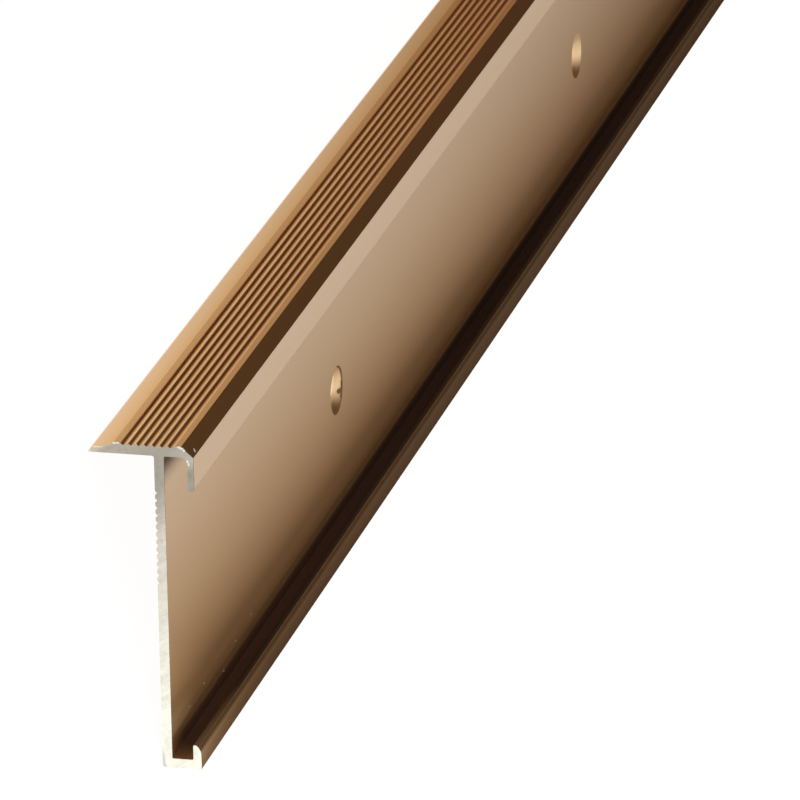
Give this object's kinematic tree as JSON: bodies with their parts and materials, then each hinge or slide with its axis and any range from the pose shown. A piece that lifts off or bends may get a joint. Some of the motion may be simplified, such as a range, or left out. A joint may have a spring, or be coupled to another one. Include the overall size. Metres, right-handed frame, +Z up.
{
  "type": "stair nosing",
  "caption": "Length of bronze anodised stair nosing with a grooved tread flange, a sloped nose, a drop lip, a web with countersunk holes and a channel at its foot.",
  "frame": {"origin": "centre of the bounding box, at floor level, as it lies on its back", "axes": "+X along the length, +Y from the foot to the tread flange, +Z up, out of the web's front"},
  "size_m": [0.9, 0.0514, 0.0154],
  "materials": {
    "anodised_aluminium": "satin bronze anodised, bare at the sawn ends"
  },
  "bodies": {
    "root": {"nosing": "anodised_aluminium"}
  },
  "joints": []
}
